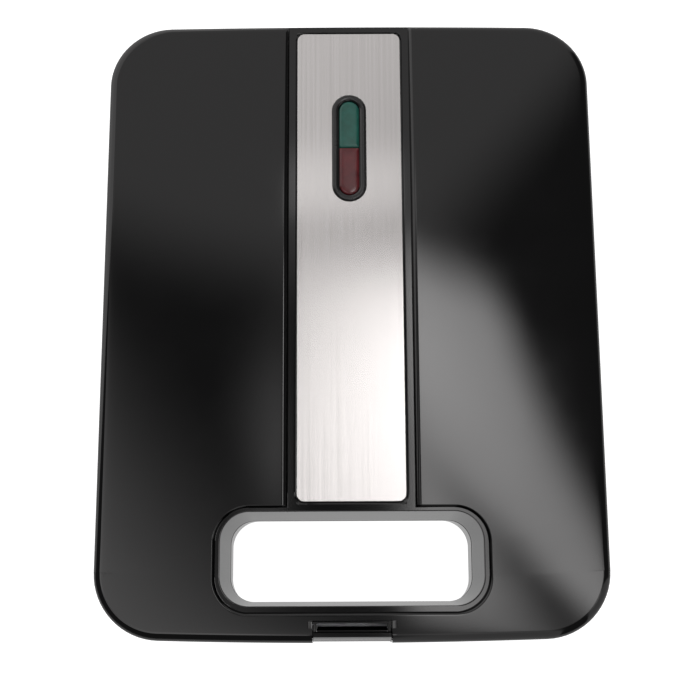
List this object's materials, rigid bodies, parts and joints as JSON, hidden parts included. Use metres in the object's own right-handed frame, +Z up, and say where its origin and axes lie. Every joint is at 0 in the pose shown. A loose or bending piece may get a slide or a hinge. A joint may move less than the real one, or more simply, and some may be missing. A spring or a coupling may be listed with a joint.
{
  "type": "sandwich toaster",
  "caption": "Countertop sandwich toaster: hinged lid with a see-through handle, front latch, steel strip with an indicator, and cast plates with triangular sandwich pockets.",
  "frame": {"origin": "on the surface the toaster stands on, below the middle of its overall length and width", "axes": "+X to the right, +Y to the hinge at the rear, +Z up, with the lid shut and latched"},
  "size_m": [0.28, 0.3649, 0.0979],
  "materials": {
    "gloss_black": "gloss",
    "matt_black": "fine grain",
    "brushed_strip": "brushed along its length",
    "green_plastic": "clear tinted",
    "red_plastic": "clear tinted",
    "lamp_glass": "clear",
    "white_plastic": "matt",
    "lead_sleeve": "woven sleeve",
    "coated_plate": "non-stick coating",
    "foot_rubber": "matt",
    "plated_steel": "zinc plated",
    "hinge_steel": "polished"
  },
  "bodies": {
    "base": {"base_cover": "gloss_black", "lower_frame": "matt_black", "lower_heat_shield": "plated_steel", "lower_plate": "coated_plate", "lower_element": "plated_steel", "lower_bridge": "plated_steel", "lower_bridge_screws": "plated_steel", "base_screws": "plated_steel", "lower_knuckles": "matt_black", "hinge_pins": "hinge_steel", "latch_catch": "plated_steel", "thermostat": "white_plastic", "thermal_fuse": "plated_steel", "terminal_block": "white_plastic", "lower_leads": "lead_sleeve", "cord_bush": "matt_black", "cord_clamp": "matt_black", "cord_clamp_screws": "plated_steel", "rubber_feet": "foot_rubber", "rear_stands": "matt_black"},
    "lid": {"lid_cover": "gloss_black", "trim_plate": "brushed_strip", "indicator_bezel": "matt_black", "green_lens": "green_plastic", "red_lens": "red_plastic", "neon_lamps": "lamp_glass", "lamp_carrier": "white_plastic", "upper_frame": "matt_black", "upper_heat_shield": "plated_steel", "upper_plate": "coated_plate", "upper_element": "plated_steel", "upper_bridge": "plated_steel", "upper_bridge_screws": "plated_steel", "lid_screws": "plated_steel", "latch_housing": "gloss_black", "latch_pin": "hinge_steel", "upper_knuckles": "matt_black", "upper_leads": "lead_sleeve"},
    "latch": {"latch": "gloss_black"}
  },
  "joints": [
    {"name": "lid_hinge", "type": "hinge", "parent": "base", "child": "lid", "pos_m": [0, 0.1757, 0.0505], "axis": [-1, 0, 0], "range_deg": [0, 100]},
    {"name": "latch_pivot", "type": "hinge", "parent": "lid", "child": "latch", "pos_m": [0, -0.176, 0.08], "axis": [-1, 0, 0], "range_deg": [0, 20]}
  ]
}
